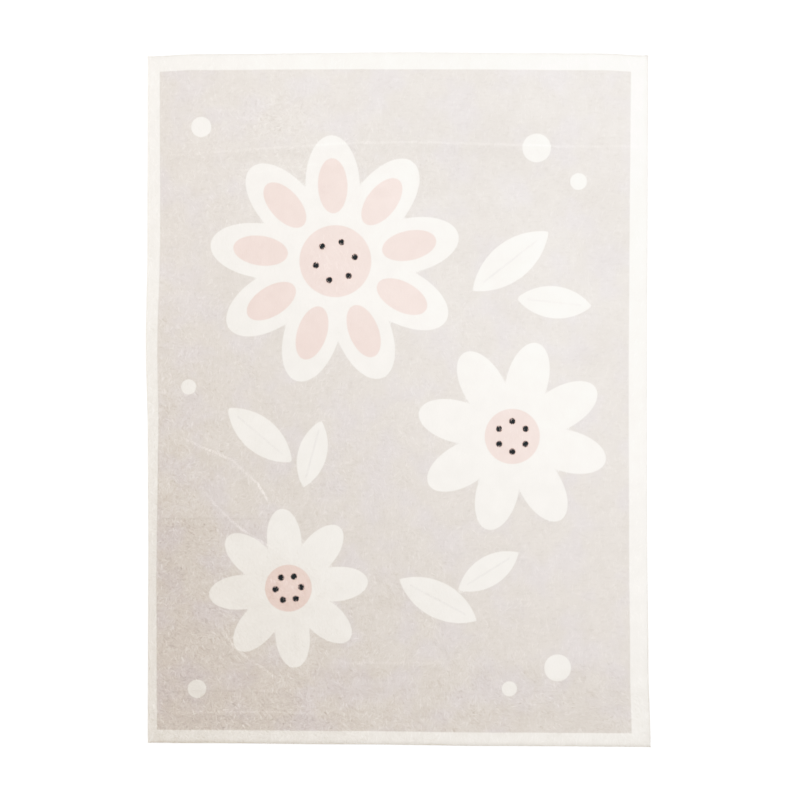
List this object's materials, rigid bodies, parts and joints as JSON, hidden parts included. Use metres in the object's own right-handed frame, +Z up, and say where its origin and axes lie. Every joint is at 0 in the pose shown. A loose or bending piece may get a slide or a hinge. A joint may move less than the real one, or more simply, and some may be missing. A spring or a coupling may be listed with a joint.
{
  "type": "printed kids rug",
  "caption": "Rectangular short-pile plush rug for a child's room, lying flat, with a soft rounded rim, a cream border and a printed field.",
  "frame": {"origin": "on the floor, under the middle of the rug's outline", "axes": "+Z up out of the pile, +Y along the rug's length towards the top of its print, +X across its width to the right"},
  "size_m": [1.211, 1.6636, 0.0108],
  "materials": {
    "plush_pile": "short brushed plush pile, matt, printed greige field with a cream border"
  },
  "bodies": {
    "root": {"rug": "plush_pile"}
  },
  "joints": []
}
